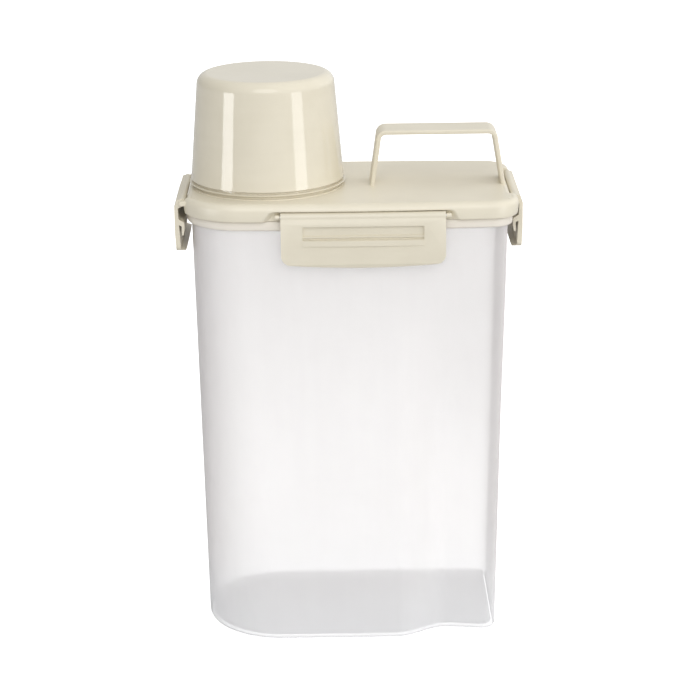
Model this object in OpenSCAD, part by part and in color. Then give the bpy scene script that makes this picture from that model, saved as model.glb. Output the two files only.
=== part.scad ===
// Dry-food keeper: frosted body, four-flap lid, upturned measuring cup and strap handle.
// Millimetres, +Z up, origin on the table under the middle of the keeper.
// +X points to the handle end, -X to the pouring end, -Y is the front long side.

/* [Body] */
// Length of the body rim, left end to right end
rim_len = 159.6; // [159.6]
// Depth of the body rim where the long sides meet the ends
rim_depth = 84.2; // [84.2]
// Height of the body rim above the table
rim_h = 233.3; // [233.3]
// Wall thickness of the body
wall_t = 2.0; // [1.6:0.1:2.2]
// Floor thickness of the body
floor_t = 2.4; // [2:0.1:3]
// How far the front wall steps back at the grip
grip_d = 11.5; // [4:0.5:13]
// Height at which the grip starts to fade into the full section
grip_fade = 105; // [60:5:140]
// Radius of the bottom edge
foot_r = 3.5; // [2:0.5:5]

/* [Lid] */
// Height of the lid top above the table
lid_top = 238.0; // [238]
// Radius of the lid's upper edge
lid_edge = 3.0; // [2:0.5:3.2]
// Height of the lower edge of the lid skirt
skirt_z = 229.5; // [229.5]
// Thickness of the lid plate
plate_t = 2.4; // [2.2:0.1:2.6]
// Depth of the plug that enters the body below the rim
plug_h = 7.5; // [5:0.5:9]

/* [Pouring mouth] */
// Distance of the mouth centre from the middle of the keeper
mouth_x = 41.3; // [40.5:0.1:41.5]
// Inside radius of the mouth
mouth_r = 33.2; // [30:0.1:33.4]
// Height of the neck above the lid
neck_h = 8.0; // [7:0.5:10]

/* [Measuring cup] */
// Radius of the cup rim band
cup_rim_r = 40.0; // [39.6:0.1:40.2]
// Radius of the cup wall just above the band
cup_low_r = 39.2; // [39:0.1:39.4]
// Radius of the cup wall at the shoulder
cup_high_r = 35.1; // [34:0.1:36]
// Height of the cup
cup_h = 57.6; // [50:0.1:70]
// Wall thickness of the cup
cup_t = 1.8; // [1.4:0.1:1.9]
// Radius of the cup shoulder
shoulder_r = 5.6; // [3:0.2:6]

/* [Flaps] */
// Length of the front and rear flaps
long_flap = 82; // [70:1:86]
// Length of the two end flaps
end_flap = 56; // [50:1:58]
// Drop of a long flap below its hinge
flap_drop = 25.8; // [25:0.2:26.6]
// Drop of an end flap below its hinge
end_drop = 27.0; // [26.4:0.2:28]
// Corner radius of the long flaps
long_corner = 5; // [2:0.5:6]
// Corner radius of the end flaps
end_corner = 3; // [2:0.5:4]
// How far a long flap's face stands out from its hinge line
long_out = 3.4; // [3:0.1:3.6]
// How far an end flap's face stands out from its hinge line
end_out = 4.4; // [3.4:0.1:4.4]
// Radius of the hinge pins
pin_r = 0.9; // [0.8:0.05:1]

/* [Handle] */
// Width of the handle strap
strap_w = 19; // [14:0.5:20]
// Thickness of the handle strap
strap_t = 2.3; // [2:0.1:2.6]
// Height of the handle above the lid
handle_h = 28.6; // [22:0.1:34]

/* [Hidden] */
$fn = 96;

frost = [0.93, 0.93, 0.92];
cream = [0.87, 0.84, 0.76];
cream_gloss = [0.86, 0.82, 0.74];
silicone = [0.90, 0.90, 0.88];
steel = [0.70, 0.71, 0.72];

// Bead round the body under the lid skirt
bead_z0 = 224.9;
bead_z1 = 229.0;
bead_out = 2.5;
// Offsets of the lid faces from the outside of the body rim
gap_fit = 0.4;
lid_out = 2.5;
side_out = lid_out + lid_edge;
groove_in = -wall_t - gap_fit;
plug_in = groove_in - 1.8;
plate_z = lid_top - plate_t;
// Hinge lines: the long flaps hang under a closed edge, the end flaps in open bays
hinge_z = 232;
end_hinge_z = 235;
hinge_x = 84.2;
hinge_y = 49.2;
long_x = 7;
barrel_r = 2.0;
swing_r = barrel_r + 0.4;
bay_edge = 2.6;
notch_w = 7;
end_gap = 0.3;
ear_w = 2.6;
ear_r = 1.9;
run_fit = 0.08;
// Plan of the rim and of the foot
half_len = rim_len / 2;
half_dep = rim_depth / 2;
rim_rl = 25;
rim_rr = 7.5;
rim_bow = 0.065;
foot_xl = 77.5;
foot_xr = 75.3;
foot_dep = 42.6;
foot_rl = 40;
foot_rr = 7;
foot_bow = 0.02;
foot_tuck = 0.6;
taper_top = 222;
// Grip curve along the front wall
grip_x0 = 23;
grip_x1 = 49;
grip_x2 = 72;
grip_back = 0.27;
fade_top = 205;
seat_h = 0.5;
seat_r = 39.0;
neck_t = 2.4;
seal_w = 2.3;
seal_z = lid_top + 3.4;

function mix(a, b, t) = a + (b - a) * t;
function clamp01(t) = max(0, min(1, t));
function ease(a, b, v) = let (t = clamp01((v - a) / (b - a))) t * t * (3 - 2 * t);

// Closed plan with round corners, before the long sides are bowed
function arc_pts(cx, cy, r, a0, a1, n) =
    [for (i = [0 : n]) let (a = mix(a0, a1, i / n)) [cx + r * cos(a), cy + r * sin(a)]];
function side_pts(x0, y0, x1, y1, n) =
    [for (i = [1 : n - 1]) [mix(x0, x1, i / n), mix(y0, y1, i / n)]];
function plan(xl, xr, b, rl, rr) = concat(
    arc_pts(xr - rr, b - rr, rr, 0, 90, 5),
    side_pts(xr - rr, b, rl - xl, b, 8),
    arc_pts(rl - xl, b - rl, rl, 90, 180, 9),
    arc_pts(rl - xl, rl - b, rl, 180, 270, 9),
    side_pts(rl - xl, -b, xr - rr, -b, 22),
    arc_pts(xr - rr, rr - b, rr, 270, 360, 5));

// Share of the grip depth at a place along the front wall
function grip_at(x) = ease(grip_x0, grip_x1, x) * (1 - grip_back * ease(grip_x1, grip_x2, x));
function grip_depth(z) = grip_d * (1 - ease(grip_fade, fade_top, z));
function bow(p, a, k) = p[1] * (1 + k * (1 - pow(min(1, abs(p[0]) / a), 2)));
function bent(p, a, b, k, d) =
    let (y = bow(p, a, k))
    [p[0], y < 0 ? y + d * grip_at(p[0]) * clamp01(-y / b) : y];
function ring(z, xl, xr, b, rl, rr, k, d) =
    [for (p = plan(xl, xr, b, rl, rr)) let (q = bent(p, max(xl, xr), b, k, d)) [q[0], q[1], z]];

// Ring of the tapered body wall at a height, moved outward by o
function wall_ring(z, o) =
    let (t = min(1, z / taper_top))
    ring(z, mix(foot_xl, half_len, t) + o, mix(foot_xr, half_len, t) + o,
        mix(foot_dep, half_dep, t) + o, mix(foot_rl, rim_rl, t) + o,
        mix(foot_rr, rim_rr, t) + o, mix(foot_bow, rim_bow, t), grip_depth(z));
// Ring of the straight rim, moved outward by o
function rim_ring(z, o) =
    ring(z, half_len + o, half_len + o, half_dep + o, rim_rl + o, rim_rr + o, rim_bow, 0);

// Closed skin through rings of equal length, flat at both ends
module skin(rings) {
    n = len(rings[0]);
    m = len(rings);
    pts = [for (r = rings) for (p = r) p];
    sides = [for (j = [0 : m - 2]) for (i = [0 : n - 1])
        let (a = j * n + i, b = j * n + (i + 1) % n)
        each [[a, a + n, b], [b, a + n, b + n]]];
    first = [for (i = [0 : n - 1]) i];
    last = [for (i = [n - 1 : -1 : 0]) (m - 1) * n + i];
    polyhedron(points = pts, faces = concat([first], sides, [last]), convexity = 8);
}

// Closed ring-shaped skin whose last ring joins the first
module hoop(rings) {
    n = len(rings[0]);
    m = len(rings);
    pts = [for (r = rings) for (p = r) p];
    polyhedron(points = pts, convexity = 8, faces = [for (j = [0 : m - 1]) for (i = [0 : n - 1])
        let (here = j * n, next = ((j + 1) % m) * n, k = (i + 1) % n)
        each [[here + i, next + i, here + k], [here + k, next + i, next + k]]]);
}

levels = [12, 40, 75, grip_fade, 125, 145, 165, 185, fade_top];
function foot_o(a) = -foot_r * (1 - sin(a)) - foot_tuck * (1 - sin(a));
function foot_z(a) = foot_r * (1 - cos(a));

module body() {
    color(frost, 0.6)
    skin(concat(
        [for (a = [0, 30, 60, 90]) wall_ring(foot_z(a), foot_o(a))],
        [for (z = levels) wall_ring(z, 0)],
        [wall_ring(bead_z0 - 1.4, 0)],
        [rim_ring(bead_z0, bead_out - 0.3), rim_ring(bead_z0 + 0.5, bead_out)],
        [rim_ring(bead_z1 - 0.5, bead_out), rim_ring(bead_z1, bead_out - 0.5), rim_ring(bead_z1, 0)],
        [rim_ring(rim_h - 0.4, 0), rim_ring(rim_h, -0.4)],
        [rim_ring(rim_h, 0.4 - wall_t), rim_ring(rim_h - 0.4, -wall_t)],
        [rim_ring(bead_z1, -wall_t)],
        [wall_ring(bead_z0 - 1.4, -wall_t)],
        [for (i = [len(levels) - 1 : -1 : 0]) wall_ring(levels[i], -wall_t)],
        [wall_ring(floor_t + 1.2, -wall_t - 0.2), wall_ring(floor_t, -wall_t - 1.4)]));
}

// Places a flap part modelled at the hinge with its outside towards -Y
module at_front() { translate([long_x, -hinge_y, hinge_z]) children(); }
module at_rear() { translate([long_x, hinge_y, hinge_z]) rotate([0, 0, 180]) children(); }
module at_left() { translate([-hinge_x, 0, end_hinge_z]) rotate([0, 0, -90]) children(); }
module at_right() { translate([hinge_x, 0, end_hinge_z]) rotate([0, 0, 90]) children(); }

// Cylinder along the hinge line, centred
module along(l, r) { rotate([0, 90, 0]) cylinder(h = l, r = r, center = true, $fn = 48); }

// Room in the lid for a flap under a closed edge
module bay_low(l) {
    w = l + 2 * end_gap;
    wide = w / 2 + notch_w;
    along(w, swing_r);
    translate([-w / 2, -12, -12]) cube([w, 12 + 0.5, 12 + 2.9]);
    translate([-w / 2, -12, -12]) cube([w, 12 + swing_r, 12]);
    translate([0, 1.9, 0]) rotate([90, 0, 0]) linear_extrude(height = 14)
    polygon([[-w / 2, 2.2], [w / 2, 2.2], [wide, -2.6], [wide, -6], [-wide, -6], [-wide, -2.6]]);
}

// Room in the lid for a flap, open at the top, with a rounded edge inside it
module bay_open(l) {
    w = l + 2 * end_gap;
    top = lid_top - end_hinge_z;
    translate([-w / 2, -12, -12]) cube([w, 12 + swing_r, 24]);
    translate([-w / 2, 0, 0]) rotate([90, 0, 90]) linear_extrude(height = w) difference() {
        translate([swing_r - 1, top - bay_edge]) square([bay_edge + 1, bay_edge + 3]);
        translate([swing_r + bay_edge, top - bay_edge]) circle(r = bay_edge);
    }
}

// Lug at each end of a flap that holds its pin
module ears(l) {
    for (s = [-1, 1]) translate([s * (l / 2 + end_gap + ear_w / 2), 0, 0]) {
        along(ear_w, ear_r);
        translate([-ear_w / 2, 0, -ear_r]) cube([ear_w, 3.1, 2 * ear_r]);
    }
}

module lid_shell() {
    skin(concat(
        [rim_ring(plate_z, plug_in - 0.01)],
        [rim_ring(rim_h - plug_h + 0.6, plug_in)],
        [rim_ring(rim_h - plug_h, plug_in + 0.6), rim_ring(rim_h - plug_h, groove_in - 0.8)],
        [rim_ring(rim_h - plug_h + 1.2, groove_in), rim_ring(plate_z, groove_in)],
        [rim_ring(plate_z, gap_fit), rim_ring(skirt_z, gap_fit)],
        [rim_ring(skirt_z, side_out - 0.3), rim_ring(skirt_z + 0.5, side_out + 0.1)],
        [for (a = [0, 22.5, 45, 67.5, 90])
            rim_ring(lid_top - lid_edge * (1 - sin(a)), lid_out + lid_edge * cos(a))]));
}

module lid() {
    color(cream) difference() {
        union() {
            difference() {
                lid_shell();
                at_front() bay_low(long_flap);
                at_rear() bay_low(long_flap);
                at_left() bay_open(end_flap);
                at_right() bay_open(end_flap);
            }
            at_front() ears(long_flap);
            at_rear() ears(long_flap);
            at_left() ears(end_flap);
            at_right() ears(end_flap);
            translate([-mouth_x, 0, 0]) rotate_extrude($fn = 128) neck_section();
        }
        translate([-mouth_x, 0, plate_z - 12]) cylinder(h = 24 + neck_h, r = mouth_r, $fn = 128);
        at_front() along(long_flap + 2 * end_gap + 2 * ear_w + 1, pin_r);
        at_rear() along(long_flap + 2 * end_gap + 2 * ear_w + 1, pin_r);
        at_left() along(end_flap + 2 * end_gap + 2 * ear_w + 1, pin_r);
        at_right() along(end_flap + 2 * end_gap + 2 * ear_w + 1, pin_r);
        for (x = [foot_l - 0.1, foot_r_x - 0.3])
            translate([x, -strap_w / 2, lid_top - foot_sink]) cube([strap_t + 0.4, strap_w, 3]);
    }
}

// Half section of the neck and of the low seat under the cup
module neck_section() {
    r1 = mouth_r + neck_t;
    top = lid_top + neck_h;
    polygon([[mouth_r - 0.5, plate_z], [seat_r, plate_z], [seat_r, lid_top + seat_h],
        [r1, lid_top + seat_h], [r1, seal_z], [r1 - 1, seal_z], [r1 - 1, seal_z + seal_w],
        [r1, seal_z + seal_w], [r1, top - 0.8], [r1 - 0.8, top], [mouth_r - 0.5, top]]);
}

module lid_gasket() {
    w0 = groove_in + 0.1;
    w1 = gap_fit - 0.1;
    color(silicone) hoop([rim_ring(plate_z, w0), rim_ring(plate_z, w1),
        rim_ring(rim_h, w1), rim_ring(rim_h, w0)]);
}

module mouth_seal() {
    r0 = mouth_r + neck_t - 1;
    rise = seal_z + seal_w - lid_top - 3;
    r1 = cup_low_r - cup_t - rise * (cup_low_r - cup_high_r) / (cup_h - 3) - 0.05;
    color(silicone) translate([-mouth_x, 0, seal_z]) rotate_extrude($fn = 128)
    polygon([[r0, 0], [r1 - 0.9, 0], [r1, 0.7], [r1, seal_w - 0.7], [r1 - 0.9, seal_w], [r0, seal_w]]);
}

// Half section of the measuring cup, mouth down, standing on z = 0
band_h = 3.2;
module cup_section() {
    cs = cup_h - shoulder_r;
    cx = cup_high_r - shoulder_r;
    inside = cup_low_r - cup_t;
    difference() {
        union() {
            translate([cup_rim_r - 3, 0]) square([3, band_h]);
            polygon([[0, 0], [cup_low_r, 0], [cup_low_r, band_h], [cup_high_r, cs],
                [cx, cs], [cx, cup_h], [0, cup_h]]);
            translate([cx, cs]) circle(r = shoulder_r);
        }
        polygon([[-1, -1], [inside + 0.6, -1], [inside + 0.6, 0.6], [inside, 1.4], [inside, band_h],
            [cup_high_r - cup_t, cs], [cx, cs], [cx, cup_h - cup_t], [-1, cup_h - cup_t]]);
        translate([cx, cs]) circle(r = shoulder_r - cup_t);
        translate([-60, -10]) square([60, 100]);
    }
}

module measuring_cup() {
    color(cream_gloss) translate([-mouth_x, 0, lid_top + seat_h]) rotate_extrude($fn = 160) cup_section();
}

foot_l = 11.1;
foot_r_x = 77.6;
foot_sink = 1.2;
bar_l = 14.6;
bar_r = 75.4;
bend_r = 5;

// Line along the strap seen from the front, moved inward by o
function bail_line(o) =
    let (low = lid_top - foot_sink, bz = lid_top + handle_h - bend_r)
    concat([[foot_l + o, low]], arc_pts(bar_l + bend_r, bz, bend_r - o, 180, 90, 12),
        arc_pts(bar_r - bend_r, bz, bend_r - o, 90, 0, 12), [[foot_r_x + strap_t - o, low]]);
function back(list) = [for (i = [len(list) - 1 : -1 : 0]) list[i]];

module handle() {
    color(cream) translate([0, strap_w / 2, 0]) rotate([90, 0, 0])
    linear_extrude(height = strap_w) polygon(concat(bail_line(0), back(bail_line(strap_t))));
}

// Shared by all flaps, measured down from the long flaps' hinge line
flap_wall = 2.4;
edge_bow = 2;
slot_share = 0.735;
slot_low = 11.3;
slot_h = 6.9;
lip_low = 14.3;
lip_out = 0.6;
rib_low = 14;
turn_in = 1.4;

// Section across a flap: first number is the distance outward, second the height over the hinge
// f is the face's distance out, lean how far its lower edge comes back, s the hinge's extra height
module flap_section(f, lean, drop, s) {
    circle(r = barrel_r, $fn = 48);
    low = f - lean;
    polygon([[1.2, 1.6], [f - 1.8, 1.2], [f - 1.2, -1], [f, -3.8], [low, 2 - drop], [low - 0.8, -drop],
        [0.8 - turn_in, -drop], [-turn_in, 0.8 - drop], [-turn_in, 2 - drop], [low - flap_wall, 2.6 - drop],
        [f - flap_wall, -3], [-1, -1.7], [-1, 0], [0, 0]]);
    polygon([[f - 2, -5.2 - s], [-0.8, -7.2 - s], [-1.1, -8.2 - s], [-1.1, 3 - rib_low - s],
        [-0.5, -rib_low - s], [0.3, -rib_low - s], [0.3, -9.4 - s], [f - 2, -8.2 - s]]);
}

// Outline of a flap's face, its lower edge bowed and its lower corners round
module flap_face(l, drop, corner) {
    rb = l * l / (8 * edge_bow);
    offset(r = corner) offset(delta = -corner) intersection() {
        translate([-l / 2, -drop]) square([l, drop + corner + 4]);
        translate([0, rb - drop]) circle(r = rb, $fn = 720);
    }
}

// Flap with its hinge along X and its outside towards -Y
module flap(l, crown, f, lean, drop, corner, s) {
    slot = l * slot_share;
    rc = l * l / (8 * crown);
    difference() {
        intersection() {
            union() {
                rotate([90, 0, -90]) translate([0, 0, -l / 2])
                linear_extrude(height = l) flap_section(f, lean, drop, s);
                translate([-slot / 2, -f - lip_out, -lip_low - s]) cube([slot, 1.2, 2.8]);
            }
            rotate([90, 0, 0]) translate([0, 0, -6]) linear_extrude(height = 14)
            flap_face(l, drop, corner);
            translate([0, rc - f - lip_out, -40]) cylinder(h = 50, r = rc, $fn = 720);
        }
        along(l + 2, pin_r + run_fit);
        translate([-slot / 2, -f - 3, -slot_low - s]) cube([slot, 3 + 1.4, slot_h]);
    }
    translate([-slot / 2 - 0.5, -f + 0.7, -slot_low + 1.2 - s]) cube([slot + 1, 0.9, 0.7]);
}

module long_flap_shape() { flap(long_flap, 1.0, long_out, 0.4, flap_drop, long_corner, 0); }
module end_flap_shape() {
    flap(end_flap, 1.2, end_out, 1.0, end_drop, end_corner, end_hinge_z - hinge_z);
}
module flap_front() { color(cream) at_front() long_flap_shape(); }
module flap_rear() { color(cream) at_rear() long_flap_shape(); }
module flap_left() { color(cream) at_left() end_flap_shape(); }
module flap_right() { color(cream) at_right() end_flap_shape(); }

module pin(l) { color(steel) along(l + 2 * end_gap + 2 * ear_w - 0.4, pin_r); }
module pin_front() { at_front() pin(long_flap); }
module pin_rear() { at_rear() pin(long_flap); }
module pin_left() { at_left() pin(end_flap); }
module pin_right() { at_right() pin(end_flap); }

body();
lid();
lid_gasket();
mouth_seal();
measuring_cup();
handle();
flap_front();
flap_rear();
flap_left();
flap_right();
pin_front();
pin_rear();
pin_left();
pin_right();
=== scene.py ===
import math

import bmesh
import bpy
import numpy as np
from mathutils import Matrix, Vector


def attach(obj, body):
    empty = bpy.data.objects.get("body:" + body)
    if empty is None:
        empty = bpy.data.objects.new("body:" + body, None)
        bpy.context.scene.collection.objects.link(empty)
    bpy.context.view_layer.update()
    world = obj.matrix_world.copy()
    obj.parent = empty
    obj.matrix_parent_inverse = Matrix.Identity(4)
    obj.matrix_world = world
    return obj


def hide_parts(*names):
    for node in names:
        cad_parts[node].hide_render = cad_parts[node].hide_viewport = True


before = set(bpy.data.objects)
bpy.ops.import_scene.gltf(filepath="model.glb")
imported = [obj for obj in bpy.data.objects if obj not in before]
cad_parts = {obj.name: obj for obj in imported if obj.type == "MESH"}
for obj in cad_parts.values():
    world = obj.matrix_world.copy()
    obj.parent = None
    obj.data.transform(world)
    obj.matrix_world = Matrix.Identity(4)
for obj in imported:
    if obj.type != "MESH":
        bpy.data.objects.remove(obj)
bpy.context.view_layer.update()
mm = 0.001


# Mesh helpers, all through edit-mode operators

def clearSelection():
    if bpy.context.object and bpy.context.object.mode != "OBJECT":
        bpy.ops.object.mode_set(mode="OBJECT")
    bpy.ops.object.select_all(action="DESELECT")


def activate(obj):
    clearSelection()
    obj.select_set(True)
    bpy.context.view_layer.objects.active = obj


def moveRing(obj, ring):  # puts the selected ring of points where ring says
    work = bmesh.from_edit_mesh(obj.data)
    order = work.verts.layers.int["order"]
    for vert in work.verts:
        if vert.select:
            vert.co = ring[vert[order]]
    bmesh.update_edit_mesh(obj.data)


def loft(name, rings, capFirst=False, capLast=False, closed=False):
    # A circle shaped to the first ring, then extruded and shaped again for each ring after it, in mm
    rings = [np.asarray(ring, float) * mm for ring in rings]
    if closed:
        rings.append(rings[0])
    clearSelection()
    bpy.ops.mesh.primitive_circle_add(vertices=len(rings[0]), radius=0.05)
    obj = bpy.context.object
    obj.name = obj.data.name = name
    bpy.ops.object.mode_set(mode="EDIT")
    work = bmesh.from_edit_mesh(obj.data)
    order = work.verts.layers.int.new("order")
    for spot, vert in enumerate(work.verts):
        vert[order] = spot
    bmesh.update_edit_mesh(obj.data)
    moveRing(obj, rings[0])
    if capFirst:
        bpy.ops.mesh.edge_face_add()
        bpy.ops.mesh.select_mode(type="EDGE")
    for ring in rings[1:]:
        bpy.ops.mesh.extrude_edges_move()
        moveRing(obj, ring)
    if capLast:
        bpy.ops.mesh.edge_face_add()
    bpy.ops.mesh.select_mode(type="VERT")
    bpy.ops.mesh.select_all(action="SELECT")
    bpy.ops.mesh.remove_doubles(threshold=1e-6)
    bpy.ops.mesh.normals_make_consistent(inside=False)
    bpy.ops.object.mode_set(mode="OBJECT")
    obj.data.attributes.remove(obj.data.attributes["order"])
    return obj


def soften(obj, angle=32):  # smooth shading that keeps flat faces flat
    activate(obj)
    bpy.ops.object.shade_smooth_by_angle(angle=math.radians(angle))
    obj.modifiers.new("flats", "WEIGHTED_NORMAL").keep_sharp = True
    bpy.ops.object.modifier_apply(modifier="flats")
    return obj


def applyModifiers(obj):
    activate(obj)
    for modifier in list(obj.modifiers):
        bpy.ops.object.modifier_apply(modifier=modifier.name)


def place(obj, body, material, slot, *nodes):
    obj.data.materials.clear()
    obj.data.materials.append(material)
    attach(obj, body)
    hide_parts(*nodes)
    print("made", obj.name, len(obj.data.polygons), "faces")


# Materials

class Wire:
    # One socket of a material; sums and products of wires add Math nodes

    def __init__(self, tree, socket=None):
        self.tree = tree
        self.socket = socket

    def add(self, kind, settings=(), values=(), out=0):
        made = self.tree.nodes.new("ShaderNode" + kind)
        for key, value in dict(settings).items():
            setattr(made, key, value)
        for key, value in dict(values).items():
            if isinstance(value, Wire):
                self.tree.links.new(value.socket, made.inputs[key])
            else:
                made.inputs[key].default_value = value
        return Wire(self.tree, made.outputs[out])

    def maths(self, operation, *values):
        return self.add("Math", {"operation": operation}, enumerate(values))

    def __add__(self, other):
        return self.maths("ADD", self, other)

    def __sub__(self, other):
        return self.maths("SUBTRACT", self, other)

    def __rsub__(self, other):
        return self.maths("SUBTRACT", other, self)

    def __mul__(self, other):
        return self.maths("MULTIPLY", self, other)

    __radd__ = __add__

    def ramp(self, low, high):  # 0 below low, 1 above high, smooth between
        values = {"Value": self, "From Min": low, "From Max": high}
        return self.add("MapRange", {"interpolation_type": "SMOOTHSTEP"}, values)

    def blend(self, first, second):  # first where the wire is 0, second where it is 1
        return self.add("Mix", {"data_type": "RGBA"}, {0: self, 6: first, 7: second}, out=2)

    def into(self, shader, name):
        self.tree.links.new(self.socket, shader.inputs[name])


def newMaterial(name, **fixed):
    material = bpy.data.materials.new(name)
    material.use_nodes = True
    tree = material.node_tree
    shader = next(node for node in tree.nodes if node.type == "BSDF_PRINCIPLED")
    for key, value in fixed.items():
        shader.inputs[key.replace("_", " ")].default_value = value
    wire = Wire(tree)
    return material, shader, wire, wire.add("TexCoord", out="Object")


def noise(wire, where, scale, detail):
    return wire.add("TexNoise", {}, {"Vector": where, "Scale": scale, "Detail": detail, "Roughness": 0.5})


def stretched(wire, where, scale):
    return wire.add("Mapping", {}, {"Vector": where, "Scale": scale})


def bumpInto(wire, shader, height, depth, strength=1.0):
    bump = wire.add("Bump", {}, {"Height": height, "Distance": depth, "Strength": strength})
    bump.into(shader, "Normal")


cream = {
    "shade": (0.755, 0.70, 0.565, 1),
    "light": (0.79, 0.735, 0.60, 1),
    "cloudScale": 38,
    "flowScale": (30, 30, 190),
    "skinScale": 1500,
    "rough": 0.36,
    "grain": 0.05,
    "cloudRough": 0.03,
    "peel": 0.000012,
}


def creamPlastic(name, gain=1.0, rough=cream["rough"]):
    # Moulded polypropylene: cloudy pigment, faint flow lines and a fine spark-eroded skin
    material, shader, wire, where = newMaterial(name)
    cloud = noise(wire, where, cream["cloudScale"], 3)
    flow = noise(wire, stretched(wire, where, cream["flowScale"]), 1.0, 2)
    share = (cloud * 0.7 + flow * 0.3).ramp(0.3, 0.7)
    shade = tuple(c * gain for c in cream["shade"][:3]) + (1,)
    light = tuple(c * gain for c in cream["light"][:3]) + (1,)
    share.blend(shade, light).into(shader, "Base Color")
    skin = noise(wire, where, cream["skinScale"], 2)
    uneven = rough - cream["grain"] / 2 + skin * cream["grain"] + cloud * cream["cloudRough"]
    uneven.into(shader, "Roughness")
    bumpInto(wire, shader, skin, cream["peel"], 0.6)
    return material


frost = {
    "clear": (0.785, 0.755, 0.75, 1),
    "milky": (0.815, 0.785, 0.78, 1),
    "paintedCreamGlow": (0.85, 0.795, 0.70, 1),
    "cool": (0.90, 0.90, 0.915, 1),
    "cloudScale": 16,
    "flowScale": (55, 55, 7),
    "skinScale": 1100,
    "coolRange": (0.003, 0.055),
    "outside": 0.31,
    "inside": 0.06,
    "cloudy": 0.02,
    "grazing": 0.64,
    "grazingPower": 1.2,
    "grazingBead": 0.6,
    "grazingBack": 0.2,
    "upper": 0.17,
    "upperRange": (0.03, 0.21),
    "foot": 0.25,
    "footRange": (0.001, 0.004),
    "bead": 0.5,
    "beadRange": (0.2236, 0.2243),
    "paintedGlowShare": 0.9,
    "rough": 0.42,
    "grain": 0.06,
    "peel": 0.000003,
}


def frostedPlastic(name, alpha, grazing):
    # Natural polypropylene: milky, a little uneven along the flow, with a matt skin
    material, shader, wire, where = newMaterial(name, IOR=1.49, Specular_IOR_Level=0.3)
    cloud = noise(wire, where, frost["cloudScale"], 3)
    streak = noise(wire, stretched(wire, where, frost["flowScale"]), 1.0, 3)
    share = (cloud * 0.55 + streak * 0.45).ramp(0.32, 0.68)
    height = wire.add("SeparateXYZ", {}, {"Vector": where}, out=2)
    bead = height.ramp(*frost["beadRange"])  # painted glow: over the bead the wall takes the cream plug's colour as if seen through it, painted lighter than the shade under the skirt leaves it
    # The wall's colour turns lighter and cooler towards the bottom
    tint = height.ramp(*frost["coolRange"]).blend(frost["cool"], share.blend(frost["clear"], frost["milky"]))
    # Painted glow: the cream plug's colour seen through the wall, lightened against the skirt's shade
    (bead * frost["paintedGlowShare"]).blend(tint, frost["paintedCreamGlow"]).into(shader, "Base Color")
    veil = share * frost["cloudy"] + alpha - frost["cloudy"] / 2 + bead * frost["bead"]
    if grazing:
        facing = wire.add("LayerWeight", {}, {"Blend": 0.5}, out=1)
        seenInside = wire.add("NewGeometry", out="Backfacing")  # light comes through a wall seen from behind
        glance = wire.maths("POWER", facing, frost["grazingPower"]) * grazing
        glance = glance * (1 - bead * frost["grazingBead"]) * (1 - seenInside * frost["grazingBack"])
        # Painted shade: the wall grows more opaque towards the rim, so the upper body shows darker as if the
        # lid shaded the inside
        upper = height.ramp(*frost["upperRange"]) * frost["upper"]
        veil = veil + glance + upper + (1 - height.ramp(*frost["footRange"])) * frost["foot"]
    veil.into(shader, "Alpha")
    skin = noise(wire, where, frost["skinScale"], 2)
    (skin * frost["grain"] + frost["rough"]).into(shader, "Roughness")
    bumpInto(wire, shader, skin, frost["peel"], 0.6)
    return material


rubber = {
    "shade": (0.80, 0.80, 0.78, 1),
    "light": (0.87, 0.87, 0.85, 1),
    "cloudScale": 60,
    "skinScale": 1300,
    "rough": 0.5,
    "grain": 0.1,
    "peel": 0.00001,
}


def siliconeRubber(name):
    material, shader, wire, where = newMaterial(name, Subsurface_Weight=0.25, Subsurface_Scale=0.002)
    cloud = noise(wire, where, rubber["cloudScale"], 2)
    cloud.blend(rubber["shade"], rubber["light"]).into(shader, "Base Color")
    skin = noise(wire, where, rubber["skinScale"], 2)
    (skin * rubber["grain"] + rubber["rough"]).into(shader, "Roughness")
    bumpInto(wire, shader, skin, rubber["peel"])
    return material


steel = {
    "shade": (0.55, 0.56, 0.57, 1),
    "light": (0.70, 0.71, 0.72, 1),
    "lineScale": (90, 3000, 3000),
    "rough": 0.22,
    "grain": 0.2,
    "scratch": 0.000008,
}


def drawnWire(name):
    material, shader, wire, where = newMaterial(name, Metallic=1.0)
    lines = noise(wire, stretched(wire, where, steel["lineScale"]), 1.0, 2)
    lines.blend(steel["shade"], steel["light"]).into(shader, "Base Color")
    (lines * steel["grain"] + steel["rough"]).into(shader, "Roughness")
    bumpInto(wire, shader, lines, steel["scratch"])
    return material


lidCream = creamPlastic("creamLid")
# Painted shade: the flaps take the lid's cream made darker, to hold back the stronger light on their front
# faces
flapCreamShaded = creamPlastic("creamFlapShaded", gain=0.945)
handleCream = creamPlastic("creamHandle", gain=0.95)
cupCream = creamPlastic("creamCup", gain=0.96, rough=0.06)
frostedWall = frostedPlastic("frostedBody", frost["outside"], frost["grazing"])
frostedInside = frostedPlastic("frostedInside", frost["inside"], 0)
silicone = siliconeRubber("silicone")
steelWire = drawnWire("steelWire")
print("materials ready")


# Outlines seen from above, shared by the body and the lid

plan = {
    "halfLen": 79.8,
    "halfDep": 42.1,
    "rimBow": 0.065,
    "leftR": 25,
    "rightR": 7.5,
}


def arc(cx, cy, r, angles):
    turn = np.radians(angles)
    return np.stack([cx + r * np.cos(turn), cy + r * np.sin(turn)], 1)


def ease(low, high, value):
    t = np.clip((value - low) / (high - low), 0, 1)
    return t * t * (3 - 2 * t)


def mix(a, b, t):
    return a + (b - a) * t


# Body

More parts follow.
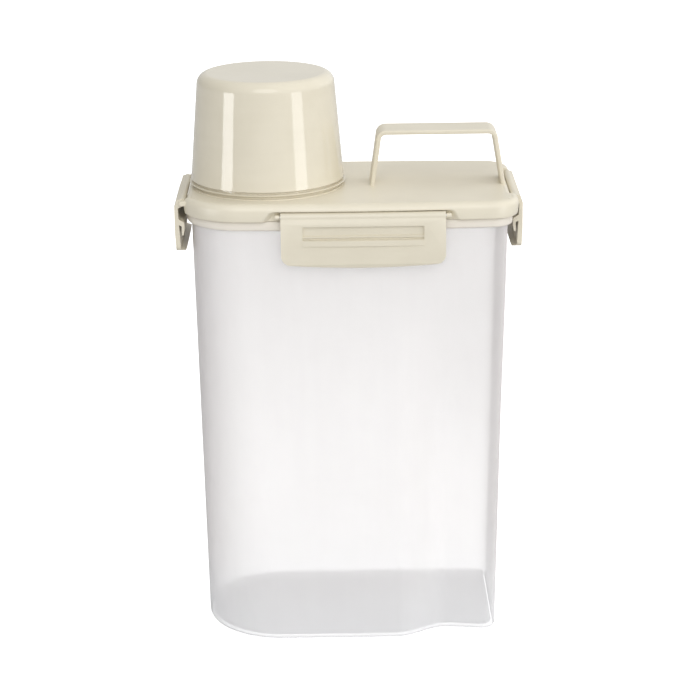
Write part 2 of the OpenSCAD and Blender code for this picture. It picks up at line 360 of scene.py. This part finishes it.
body = {
    "footLeft": 77.5,
    "footRight": 75.3,
    "footDep": 42.6,
    "footLeftR": 40,
    "footRightR": 7,
    "footBow": 0.02,
    "footR": 3.5,
    "footTuck": 0.6,
    "taperTop": 222,
    "wall": 2.0,
    "floor": 2.4,
    "floorR": 1.8,
    "standing": 5,
    "arch": 0.7,
    "middle": 20,
    "gripDeep": 11.5,
    "gripStart": 23,
    "gripFull": 49,
    "gripEnd": 72,
    "gripBack": 0.27,
    "fadeFrom": 105,
    "fadeTo": 205,
    "beadLow": 224.4,
    "beadHigh": 229.3,
    "beadOut": 2.5,
    "rim": 233.3,
    "levelLow": 14,
    "levelStep": 7,
    "frontSteps": 84,
    "rearSteps": 34,
    "endSteps": 10,
    "leftSteps": 25,
    "rightSteps": 11,
}


def bodyRing(z, out, level=None):
    # One ring of the wall at height level, pushed out by out and set at z
    level = z if level is None else level
    t = min(1, level / body["taperTop"])
    left = mix(body["footLeft"], plan["halfLen"], t) + out
    right = mix(body["footRight"], plan["halfLen"], t) + out
    dep = mix(body["footDep"], plan["halfDep"], t) + out
    leftR = mix(body["footLeftR"], plan["leftR"], t) + out
    rightR = max(0.5, mix(body["footRightR"], plan["rightR"], t) + out)
    bow = mix(body["footBow"], plan["rimBow"], t)
    rearX = np.linspace(right - rightR, leftR - left, body["rearSteps"])[1:-1]
    endY = np.linspace(dep - leftR, leftR - dep, body["endSteps"])[1:-1]
    frontX = np.linspace(leftR - left, right - rightR, body["frontSteps"])[1:-1]
    bend, corner = body["leftSteps"], body["rightSteps"]
    flat = np.concatenate([
        arc(right - rightR, dep - rightR, rightR, np.linspace(0, 90, corner)),
        np.stack([rearX, np.full(len(rearX), dep)], 1),
        arc(leftR - left, dep - leftR, leftR, np.linspace(90, 180, bend)),
        np.stack([np.full(len(endY), -left), endY], 1),
        arc(leftR - left, leftR - dep, leftR, np.linspace(180, 270, bend)),
        np.stack([frontX, np.full(len(frontX), -dep)], 1),
        arc(right - rightR, rightR - dep, rightR, np.linspace(270, 360, corner))])
    x, y = flat[:, 0], flat[:, 1]
    y = y * (1 + bow * (1 - np.minimum(1, np.abs(x) / max(left, right)) ** 2))
    deep = body["gripDeep"] * (1 - ease(body["fadeFrom"], body["fadeTo"], level))
    share = ease(body["gripStart"], body["gripFull"], x)
    share = share * (1 - body["gripBack"] * ease(body["gripFull"], body["gripEnd"], x))
    y = np.where(y < 0, y + deep * share * np.clip(-y / dep, 0, 1), y)
    return np.stack([x, y, np.full(len(x), z)], 1)


def buildBody():
    wall, rim, out = body["wall"], body["rim"], body["beadOut"]
    low, high, top = body["beadLow"], body["beadHigh"], body["taperTop"]
    footR, floorR, half = body["footR"], body["floorR"], wall / 2
    levels = np.linspace(body["levelLow"], top, int((top - body["levelLow"]) / body["levelStep"]))
    arch, standing = body["arch"], body["standing"]
    under = [(arch, 7), (arch, 4.6), (0, 3.8)]
    rings = [bodyRing(z, -standing - further, 0) for z, further in under]
    for turn in np.radians(np.linspace(0, 90, 8)):
        shift = 1 - math.sin(turn)
        rings.append(bodyRing(footR * (1 - math.cos(turn)), -shift * (footR + body["footTuck"])))
    rings += [bodyRing(8, 0)] + [bodyRing(z, 0) for z in levels]
    rings += [bodyRing(low - 0.9, 0, top), bodyRing(low - 0.35, 0.15, top)]
    for turn in np.radians(np.linspace(-80, 80, 9)):
        lean = math.cos(turn) ** 0.6
        rings.append(bodyRing(mix(low, high, (math.sin(turn) + 1) / 2), out * (0.6 + 0.4 * lean), top))
    rings += [bodyRing(high + 0.1, 0.2, top), bodyRing(high + 0.35, 0, top)]
    for turn in np.radians(np.linspace(0, 180, 9)):
        rings.append(bodyRing(rim - half + half * math.sin(turn), -half + half * math.cos(turn), top))
    rings += [bodyRing(high, -wall, top), bodyRing(low - 1, -wall, top)]
    rings += [bodyRing(z, -wall) for z in levels[::-1]]
    for turn in np.radians(np.linspace(0, 90, 8)):
        z = body["floor"] + floorR * (1 - math.sin(turn))
        rings.append(bodyRing(z, -wall - floorR * (1 - math.cos(turn))))
    rings.append(bodyRing(body["floor"], -wall - floorR - 3, 3))
    obj = loft("frosted_body", rings, capFirst=True, capLast=True)
    place(soften(obj, 40), "body", frostedWall, "frosted_body", "body")
    obj.data.materials.append(frostedInside)
    for face in obj.data.polygons:  # the wall's inner side and the underside are clearer than the skin
        inward = face.normal.x * (face.center.x - body["middle"] * mm) + face.normal.y * face.center.y < 0
        wallInside = inward and abs(face.normal.z) < 0.5 and face.center.z > (body["floor"] + floorR) * mm
        if wallInside or (face.normal.z < -0.5 and face.center.z < 1.5 * mm):
            face.material_index = 1


buildBody()


# Lid

lid = {
    "top": 238.0,
    "edgeR": 3.0,
    "edgeOut": 2.5,
    "skirt": 229.5,
    "plate": 2.4,
    "mouthX": -41.3,
    "mouthR": 33.2,
    "neckWall": 2.4,
    "neckHigh": 8.0,
    "seatR": 39.0,
    "seatHigh": 0.5,
    "sealZ": 3.4,
    "sealWide": 2.3,
    "hingeZ": 232.0,
    "endHingeZ": 235.0,
    "hingeX": 84.2,
    "hingeY": 49.2,
    "swingR": 2.4,
    "roofR": 2.45,
    "roofLip": 3.05,
    "roofFlare": 14,
    "roofSteps": (0, 0.04, 0.08, 0.12, 0.24, 0.38, 0.52, 0.66, 0.8, 0.9, 1),
    "roofHigh": 2.6,
    "roofLow": 0.3,
    "bayEdge": 2.6,
    "longX": 7.0,
    "longFlap": 82.0,
    "endFlap": 56.0,
    "gap": 0.3,
    "notchHigh": {-1: 4.0, 1: 2.8},
    "notchLow": {-1: 7.5, 1: 5.0},
    "notchFrom": 2.2,
    "notchFade": 4.7,
    "skirtTuck": 0.6,
    "tuckFrom": 2.8,
    "cornerSteps": 11,
    "bendSteps": 14,
    "earWide": 2.6,
    "earR": 1.15,
    "earLong": 3.4,
    "earSoft": 0.25,
}
# Corner of a bay seen from above: distance past the bay's end, share of the bay's depth
bayPast = 0.7
baySides = [(-bayPast, 0), (-0.35, 0.012), (-0.12, 0.05), (0, 0.13),
            (0, 0.87), (0.12, 0.95), (0.35, 0.988), (bayPast, 1)]
notchSides = [(-2.0, 0), (-1.5, 0.06), (-1.0, 0.18), (-0.4, 0.38),
              (0.2, 0.62), (0.8, 0.82), (1.3, 0.95), (1.8, 1)]


def bayLine(start, stop, low, high, outer, inner, sides=baySides):
    # Stations along one side, from start to stop, with a bay from low to high
    sign = 1 if stop > start else -1
    first, last = (low, high) if sign > 0 else (high, low)
    before, after = sides[0][0] * sign, sides[-1][0] * sign
    spots = [(v, 0) for v in np.linspace(start, first + before, outer, endpoint=False)]
    spots += [(first + s * sign, share) for s, share in sides]
    spots += [(v, 1) for v in np.linspace(first + after, last - after, inner)[1:-1]]
    spots += [(last - s * sign, share) for s, share in sides[::-1]]
    spots += [(v, 0) for v in np.linspace(last - before, stop, outer + 1)[1:-1]]
    return spots


def lidRing(z, out, bays=1.0, roof=None):
    # One ring of the lid, out mm outside the body's rim, with the four bays cut in by the share bays;
    # roof goes from 0 to 1 along the round roof over a long flap's barrel
    length, depth = plan["halfLen"] + out, plan["halfDep"] + out
    leftR, rightR = plan["leftR"] + out, plan["rightR"] + out
    straight = plan["halfDep"] - plan["leftR"]
    short = plan["halfDep"] - plan["rightR"]
    endHalf = lid["endFlap"] / 2 + lid["gap"]
    low = min(1, max(0, (lid["hingeZ"] + lid["notchFrom"] - z) / lid["notchFade"]))
    longLow, longHigh = [lid["longX"] + side * (lid["longFlap"] / 2 + lid["gap"]
                         + mix(lid["notchHigh"][side], lid["notchLow"][side], low)) for side in (-1, 1)]
    fromX, toX = plan["halfLen"] - plan["rightR"], plan["leftR"] - plan["halfLen"]
    rearLine = bayLine(fromX, toX, longLow, longHigh, 7, 36, notchSides)[1:]
    frontLine = bayLine(toX, fromX, longLow, longHigh, 7, 36, notchSides)[1:]
    # Points are x, y, the share of the bay there, and 1 on a long side or 0 elsewhere
    points = [(length, y, share, 0) for y, share in bayLine(-short, short, -endHalf, endHalf, 4, 18)]
    quarter = np.linspace(0, 90, lid["cornerSteps"])
    points += [(x, y, 0, 0) for x, y in arc(length - rightR, short, rightR, quarter)]
    points += [(x, depth, share, 1) for x, share in rearLine]
    bendX = -length + leftR
    reach = math.degrees(math.asin((endHalf + bayPast - straight) / leftR))
    turns = np.linspace(90, 180 - reach, lid["bendSteps"])
    corner = [(x, y, 0, 0) for x, y in arc(bendX, straight, leftR, turns)[:-1]]
    for s, share in baySides:
        y = endHalf - s
        corner.append((bendX - math.sqrt(leftR ** 2 - (y - straight) ** 2), y, share, 0))
    inner = math.degrees(math.asin((endHalf - bayPast - straight) / leftR))
    corner += [(x, y, 1, 0) for x, y in arc(bendX, straight, leftR, np.linspace(180 - inner, 180, 6))[1:]]
    points += corner
    points += [(-length, y, 1, 0) for y in np.linspace(straight, -straight, 12)[1:-1]]
    points += [(x, -y, share, side) for x, y, share, side in corner[::-1]]
    points += [(x, -depth, share, 1) for x, share in frontLine]
    quarter = np.linspace(270, 360, lid["cornerSteps"])
    points += [(x, y, 0, 0) for x, y in arc(length - rightR, -short, rightR, quarter)][:-1]
    x, y, share, side = np.array(points).T
    y = y * (1 + plan["rimBow"] * (1 - np.minimum(1, np.abs(x) / length) ** 2))
    over = max(0, min(lid["bayEdge"], z - lid["top"] + lid["bayEdge"]))
    endIn = lid["swingR"] + lid["bayEdge"] - math.sqrt(lid["bayEdge"] ** 2 - over ** 2)
    inward = max(0, lid["edgeOut"] - out) if z > lid["top"] - 1 else 0
    xIn = np.sign(x) * np.minimum(np.abs(x), lid["hingeX"] - endIn - inward)
    x = np.where(side == 0, mix(x, xIn, share * bays), x)
    r, cut, height = lid["roofR"], share * bays * (side == 1), np.full(len(x), float(z))
    if roof is not None:
        edge = np.abs(y) - lid["hingeY"]  # the roof opens outward, clear of the flap turned right up
        start = np.arctan2(lid["roofLip"], edge)
        turn = mix(start, math.pi, roof)
        flare = np.clip(1 - (turn - start) / math.radians(lid["roofFlare"]), 0, 1)
        r = r + (np.hypot(lid["roofLip"], edge) - r) * flare
        y = mix(y, np.sign(y) * (lid["hingeY"] + r * np.cos(turn)), cut)
        height = mix(height, lid["hingeZ"] + r * np.sin(turn), cut)
    elif z < lid["hingeZ"]:
        y = mix(y, np.sign(y) * (lid["hingeY"] - r), cut)
    return np.stack([x, y, height], 1)


def mouthRing(z, radius, edge):
    # A ring round the mouth whose points face those of the lid's edge, kept inside it
    dx, dy = edge[:, 0] - lid["mouthX"], edge[:, 1]
    far = np.hypot(dx, dy)
    r = np.minimum(radius, far - 0.4)
    return np.stack([lid["mouthX"] + dx / far * r, dy / far * r, np.full(len(edge), z)], 1)


def skirtTuck(z):  # the skirt's side turns in towards its lower edge
    start = lid["hingeZ"] + lid["tuckFrom"]
    return lid["skirtTuck"] * max(0, (start - z) / (start - lid["skirt"])) ** 2


def buildLid():
    top, skirt = lid["top"], lid["skirt"]
    plateZ = top - lid["plate"]
    side = lid["edgeOut"] + lid["edgeR"]
    rings = []
    for turn in np.radians(np.linspace(90, 0, 9)):
        z = top - lid["edgeR"] * (1 - math.sin(turn))
        rings.append(lidRing(z, lid["edgeOut"] + lid["edgeR"] * math.cos(turn)))
    hinge = lid["hingeZ"]
    for roof in lid["roofSteps"]:
        z = mix(hinge + lid["roofHigh"], hinge + lid["roofLow"], roof)
        rings.append(lidRing(z, side - skirtTuck(z), 1, roof))
    for z in (hinge - 0.1, hinge - 0.8, hinge - 1.5, skirt + 0.6, skirt + 0.4):
        rings.append(lidRing(z, side - skirtTuck(z)))
    side -= skirtTuck(skirt)
    rings += [lidRing(skirt + 0.15, side), lidRing(skirt, side - 0.3)]
    rings += [lidRing(skirt, 0.9, 0), lidRing(skirt + 0.4, 0.4, 0), lidRing(plateZ, 0.4, 0)]
    plug = [(plateZ, -2.4), (227.2, -2.4), (226.2, -2.7), (225.8, -3.2), (225.8, -3.7),
            (226.3, -4.1), (plateZ, -4.2)]
    rings += [lidRing(z, out, 0) for z, out in plug]
    edge = lidRing(top, -1.6, 0)
    inner, outer = lid["mouthR"], lid["mouthR"] + lid["neckWall"]
    neckTop, sealLow = top + lid["neckHigh"], top + lid["sealZ"]
    sealHigh, seat = sealLow + lid["sealWide"], top + lid["seatHigh"]
    profile = [(plateZ, inner + 0.4), (plateZ + 0.3, inner + 0.1), (plateZ + 0.8, inner),
               (neckTop - 0.8, inner), (neckTop - 0.25, inner + 0.22), (neckTop, inner + 0.8),
               (neckTop, outer - 0.8), (neckTop - 0.25, outer - 0.22), (neckTop - 0.8, outer),
               (sealHigh + 0.15, outer), (sealHigh, outer - 0.15), (sealHigh, outer - 1),
               (sealLow, outer - 1), (sealLow, outer - 0.15),
               (sealLow - 0.15, outer), (seat + 0.5, outer), (seat + 0.1, outer + 0.15), (seat, outer + 0.6),
               (seat, lid["seatR"] - 0.3), (seat - 0.1, lid["seatR"] - 0.05), (top, lid["seatR"])]
    rings += [mouthRing(z, r, edge) for z, r in profile]
    rings += [edge, lidRing(top, 1.65), lidRing(top - 0.05, 1.75), lidRing(top - 0.2, 1.85)]
    rings += [lidRing(top - 0.2, 2.1), lidRing(top - 0.07, 2.25)]
    obj = loft("lid_shell", rings, closed=True)
    return soften(obj, 38)


def buildLug(name):
    # One lug: a round-nosed block round the pin, along X at the origin, its nose towards -Y
    r, half, long, soft = lid["earR"], lid["earWide"] / 2, lid["earLong"], lid["earSoft"]
    nose = arc(0, 0, r, np.linspace(90, 270, 17))
    flat = np.concatenate([nose, [(long, -r), (long, r)]])
    rings = []
    for x, shrink in ((-half, soft), (-half + soft, 0), (half - soft, 0), (half, soft)):
        out, up = (flat * (1 - shrink / r)).T
        rings.append(np.stack([np.full(len(flat), x), out, up], 1))
    obj = loft(name, rings, capFirst=True, capLast=True)
    return soften(obj, 35)


def turnZ(angle):
    return Matrix.Rotation(math.radians(angle), 4, "Z")


def moveBy(shift):
    return Matrix.Translation(Vector(shift) * mm)


def placedCopy(obj, name, turn, shift):
    made = bpy.data.objects.new(name, obj.data.copy())
    bpy.context.scene.collection.objects.link(made)
    made.data.transform(turnZ(turn))
    made.data.transform(moveBy(shift))
    return made


def joinInto(obj, parts):
    activate(obj)
    for part in parts:
        part.select_set(True)
    bpy.ops.object.join()
    return obj


hinges = {
    "front": (0, (lid["longX"], -lid["hingeY"], lid["hingeZ"]), lid["longFlap"]),
    "rear": (180, (lid["longX"], lid["hingeY"], lid["hingeZ"]), lid["longFlap"]),
    "left": (-90, (-lid["hingeX"], 0, lid["endHingeZ"]), lid["endFlap"]),
    "right": (90, (lid["hingeX"], 0, lid["endHingeZ"]), lid["endFlap"]),
}


def buildLugs():
    lug = buildLug("lug")
    made = []
    for side, (turn, spot, length) in hinges.items():
        reach = length / 2 + lid["gap"] + lid["earWide"] / 2
        for sign in (-1, 1):
            shift = turnZ(turn) @ Vector((sign * reach, 0, 0)) + Vector(spot)
            made.append(placedCopy(lug, f"lug_{side}", turn, shift))
    bpy.data.objects.remove(lug)
    return made


lidShell = joinInto(buildLid(), buildLugs())
place(lidShell, "lid", lidCream, "cream_lid", "lid")


# Flaps: the CAD solid's own form with every moulded edge rounded

flap = {
    "faceOut": {"front": 3.4, "rear": 3.4, "left": 4.4, "right": 4.4},
    "slotShare": 0.735,
    "slotHigh": 227.6,
    "slotRound": 0.9,
    "round": 0.32,
    "segments": 3,
    "barrelSkin": (1.9, 2.1),
    "barrelGrow": {"front": 1.11, "rear": 1.11, "left": 1, "right": 1},
}


def buildFlap(side):
    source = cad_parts["flap_" + side]
    turn, spot, length = hinges[side]
    home = moveBy(spot) @ turnZ(turn)
    obj = bpy.data.objects.new("clip_" + side, source.data.copy())
    bpy.context.scene.collection.objects.link(obj)
    obj.data.transform(home.inverted())
    activate(obj)
    bpy.ops.object.mode_set(mode="EDIT")
    bpy.ops.mesh.select_all(action="SELECT")
    bpy.ops.mesh.remove_doubles(threshold=2e-6)
    bpy.ops.mesh.dissolve_limited(angle_limit=math.radians(1.2))
    bpy.ops.mesh.select_all(action="DESELECT")
    bpy.ops.mesh.select_mode(type="EDGE")
    work = bmesh.from_edit_mesh(obj.data)
    skinLow, skinHigh = flap["barrelSkin"]
    for vert in work.verts:  # the barrel's skin, which nearly fills the round bay
        if skinLow < math.hypot(vert.co.y, vert.co.z) / mm < skinHigh:
            vert.co.y *= flap["barrelGrow"][side]
            vert.co.z *= flap["barrelGrow"][side]
    half = length * flap["slotShare"] / 2
    high = flap["slotHigh"] - spot[2]
    for edge in work.edges:  # the slot's upper edge, on the flap's face
        points = [vert.co / mm for vert in edge.verts]
        onFace = all(abs(point.y + flap["faceOut"][side]) < 0.45 for point in points)
        onEdge = all(abs(point.x) < half + 0.1 and abs(point.z - high) < 0.05 for point in points)
        edge.select_set(onFace and onEdge and edge.calc_face_angle(0) > 1)
    print("softened", sum(edge.select for edge in work.edges), "slot edges of", obj.name)
    bmesh.update_edit_mesh(obj.data)
    bpy.ops.mesh.bevel(offset=flap["slotRound"] * mm, segments=5, clamp_overlap=True)
    bpy.ops.mesh.select_mode(type="VERT")
    bpy.ops.object.mode_set(mode="OBJECT")
    bevel = obj.modifiers.new("round", "BEVEL")
    bevel.width = flap["round"] * mm
    bevel.segments = flap["segments"]
    bevel.limit_method = "ANGLE"
    bevel.angle_limit = math.radians(28)
    bevel.use_clamp_overlap = True
    applyModifiers(obj)
    obj.data.transform(home)
    soften(obj, 40)
    place(obj, "flap_" + side, flapCreamShaded, "cream_flap", "flap_" + side)


for side in hinges:
    buildFlap(side)


# Measuring cup

cup = {
    "foot": lid["top"] + lid["seatHigh"],
    "rimR": 40.0,
    "lowR": 39.2,
    "highR": 35.1,
    "high": 57.6,
    "wall": 1.8,
    "shoulderR": 5.6,
    "band": 3.2,
    "steps": 160,
}


def buildCup():
    high, wall, band, bend = cup["high"], cup["wall"], cup["band"], cup["shoulderR"]
    low, up, rim = cup["lowR"], cup["highR"], cup["rimR"]
    shoulder = high - bend
    centre = up - bend
    profile = [(centre * 0.35, high - 0.25), (centre * 0.8, high - 0.12), (centre, high)]
    profile += [(centre + bend * math.sin(a), shoulder + bend * math.cos(a))
                for a in np.radians(np.linspace(6, 86, 14))]
    profile += [(mix(up, low, t), mix(shoulder, band, t)) for t in (0.03, 0.25, 0.5, 0.75, 0.93)]
    # The groove under the wall, the rim, and the undercut below it
    profile += [(low + 0.12, band + 0.75), (low + 0.1, band + 0.55), (low - 0.1, band + 0.4),
                (low - 1.1, band + 0.3), (low - 1.35, band + 0.1), (low - 1.35, band - 0.7),
                (low - 1.1, band - 0.85), (rim - 0.4, band - 0.9), (rim - 0.1, band - 1.0), (rim, band - 1.15),
                (rim - 0.3, 1.6), (rim - 0.45, 1.5), (rim - 0.7, 1.4), (rim - 1.3, 1.35), (rim - 1.9, 1.3),
                (rim - 2.1, 1.1), (rim - 2.15, 0)]
    profile += [(low - wall + 0.35, 0), (low - wall + 0.2, 0.1), (low - wall + 0.15, 0.6),
                (low - wall + 0.1, 1.3), (low - wall, 1.8)]
    profile += [(mix(low, up, t) - wall, mix(band, shoulder, t)) for t in (0.02, 0.5, 0.98)]
    profile += [(centre + (bend - wall) * math.cos(a), shoulder + (bend - wall) * math.sin(a))
                for a in np.radians(np.linspace(4, 90, 10))]
    profile += [(centre * 0.35, high - wall)]
    turns = np.radians(np.arange(cup["steps"]) * 360 / cup["steps"])
    rings = []
    for r, z in profile:
        level = np.full(len(turns), cup["foot"] + z)
        rings.append(np.stack([lid["mouthX"] + r * np.cos(turns), r * np.sin(turns), level], 1))
    obj = loft("scoop_cup", rings, capFirst=True, capLast=True)
    place(soften(obj, 40), "cup", cupCream, "cup", "measuring_cup")


buildCup()


# Handle

handle = {
    "wide": 19.0,
    "thick": 2.3,
    "high": 28.6,
    "sink": 1.2,
    "footLeft": 11.1,
    "footRight": 78.5,
    "barLeft": 14.6,
    "barRight": 76.6,
    "bendR": 5.0,
    "edgeR": 0.75,
}


def strapLine():
    # Centre line of the strap seen from the front, with the outward direction at each point
    half = handle["thick"] / 2
    low, bendZ = lid["top"] - handle["sink"], lid["top"] + handle["high"] - handle["bendR"]
    leftX, rightX = handle["barLeft"] + handle["bendR"], handle["barRight"] - handle["bendR"]
    outerLeft, outerRight = handle["footLeft"], handle["footRight"] + handle["thick"]
    line = []
    for z in np.linspace(low, bendZ, 8)[:-1]:
        t = (z - low) / (bendZ - low)
        line.append((mix(outerLeft, handle["barLeft"], t) + half, z, 180))
    r = handle["bendR"] - half
    line += [(x, z, a) for a in np.linspace(180, 90, 11) for x, z in arc(leftX, bendZ, r, [a])]
    line += [(x, bendZ + handle["bendR"] - half, 90) for x in np.linspace(leftX, rightX, 8)[1:-1]]
    line += [(x, z, a) for a in np.linspace(90, 0, 11) for x, z in arc(rightX, bendZ, r, [a])]
    for z in np.linspace(bendZ, low, 8)[1:]:
        t = (z - low) / (bendZ - low)
        line.append((mix(outerRight, handle["barRight"], t) - half, z, 0))
    return line


def buildHandle():
    r = handle["edgeR"]
    halfW, halfT = handle["wide"] / 2 - r, handle["thick"] / 2 - r
    corners = [(halfW, halfT, 0), (-halfW, halfT, 90), (-halfW, -halfT, 180), (halfW, -halfT, 270)]
    section = np.concatenate([arc(x, y, r, np.linspace(a, a + 90, 6)) for x, y, a in corners])
    across, out = section.T
    rings = []
    for x, z, a in strapLine():
        turn = math.radians(a)
        rings.append(np.stack([x + out * math.cos(turn), across, z + out * math.sin(turn)], 1))
    obj = loft("strap_handle", rings, capFirst=True, capLast=True)
    place(soften(obj, 40), "lid", handleCream, "cream_handle", "handle")


buildHandle()


# CAD nodes that show as they are

for node in ("lid_gasket", "mouth_seal"):
    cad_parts[node].data.materials.clear()
    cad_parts[node].data.materials.append(silicone)
for side in hinges:
    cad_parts["pin_" + side].data.materials.clear()
    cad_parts["pin_" + side].data.materials.append(steelWire)
print("carried nodes finished")


# Floor, light and camera

studio = {
    "floorSize": 30,
    "floorDrop": 0.0002,
    "floorShade": (0.67, 0.67, 0.67, 1),
    "floorLight": (0.69, 0.69, 0.69, 1),
    "sky": 0.86,
    "skyAcross": 0.55,
    "skyFront": 0.12,
    "skyUp": -0.05,
    "skyLeast": 0.1,
    "key": 0.78,
    "keyTurn": (58, 0, 0),
    "keySoft": 40,
    "floorGlow": 0.86,
    "strips": {"stripLeft": (-60, 1.1), "stripRight": (52, 0.7)},
    "stripFar": 0.62,
    "stripLow": 0.01,
    "stripHigh": 0.30,
    "stripWide": 0.2,
}


def buildFloor():
    clearSelection()
    bpy.ops.mesh.primitive_plane_add(size=studio["floorSize"], location=(0, 0, -studio["floorDrop"]))
    floor = bpy.context.object
    floor.name = "floor"
    material, shader, wire, where = newMaterial(
        "paleFloor", Roughness=0.9, Specular_IOR_Level=0.1, Emission_Strength=studio["floorGlow"])
    seen = wire.add("LightPath", out="Is Camera Ray")
    seen.blend((0, 0, 0, 1), (1, 1, 1, 1)).into(shader, "Emission Color")
    cloud = noise(wire, where, 3, 2)
    cloud.blend(studio["floorShade"], studio["floorLight"]).into(shader, "Base Color")
    floor.data.materials.append(material)


def addLight(name, kind, energy, spot, turn, **settings):
    data = bpy.data.lights.new(name, kind)
    data.energy = energy
    for key, value in settings.items():
        setattr(data, key, value)
    lamp = bpy.data.objects.new(name, data)
    lamp.location = spot
    lamp.rotation_euler = [math.radians(a) for a in turn]
    bpy.context.scene.collection.objects.link(lamp)
    return lamp


def addStrip(name, azimuth, energy):
    # Upright strip light turned to the cup: it shapes the gloss and leaves the fill light to the sky
    a, low, high = math.radians(azimuth), studio["stripLow"], studio["stripHigh"]
    x = lid["mouthX"] * mm + studio["stripFar"] * math.sin(a)
    y = -studio["stripFar"] * math.cos(a)
    lamp = addLight(name, "AREA", energy, (x, y, (low + high) / 2), (90, 0, azimuth), shape="RECTANGLE")
    lamp.data.size, lamp.data.size_y = studio["stripWide"], high - low
    lamp.visible_camera = False
    lamp.visible_diffuse = False


def buildWorld():
    world = bpy.data.worlds.new("studio")
    bpy.context.scene.world = world
    world.use_nodes = True
    tree = world.node_tree
    wire = Wire(tree)
    background = next(node for node in tree.nodes if node.type == "BACKGROUND")
    toward = {"Vector": wire.add("TexCoord", out="Generated")}
    across, back, up = [wire.add("SeparateXYZ", {}, toward, out=axis) for axis in range(3)]
    glow = across * studio["skyAcross"] - back * studio["skyFront"] + up * studio["skyUp"] + studio["sky"]
    glow = wire.maths("MAXIMUM", glow, studio["skyLeast"])
    seen = wire.add("LightPath", out="Is Camera Ray")
    (seen * (1 - glow) + glow).into(background, "Strength")
    background.inputs["Color"].default_value = (1, 1, 1, 1)


def buildCamera():
    view = {"spot": (-8.08, -1125.53, 503.07), "down": 17.549, "yaw": -0.414, "roll": 0.678, "lens": 115.03}
    data = bpy.data.cameras.new("camera")
    data.lens, data.sensor_width = view["lens"], 36
    camera = bpy.data.objects.new("camera", data)
    camera.location = Vector(view["spot"]) * mm
    turn = turnZ(view["yaw"]) @ Matrix.Rotation(math.radians(90 - view["down"]), 4, "X") @ turnZ(-view["roll"])
    camera.rotation_euler = turn.to_euler()
    bpy.context.scene.collection.objects.link(camera)
    bpy.context.scene.camera = camera


buildFloor()
buildWorld()
addLight("key", "SUN", studio["key"], (0, 0, 2), studio["keyTurn"], angle=math.radians(studio["keySoft"]))
for name, (azimuth, energy) in studio["strips"].items():
    addStrip(name, azimuth, energy)
buildCamera()
bpy.context.scene.view_settings.view_transform = "Standard"
print("studio ready")
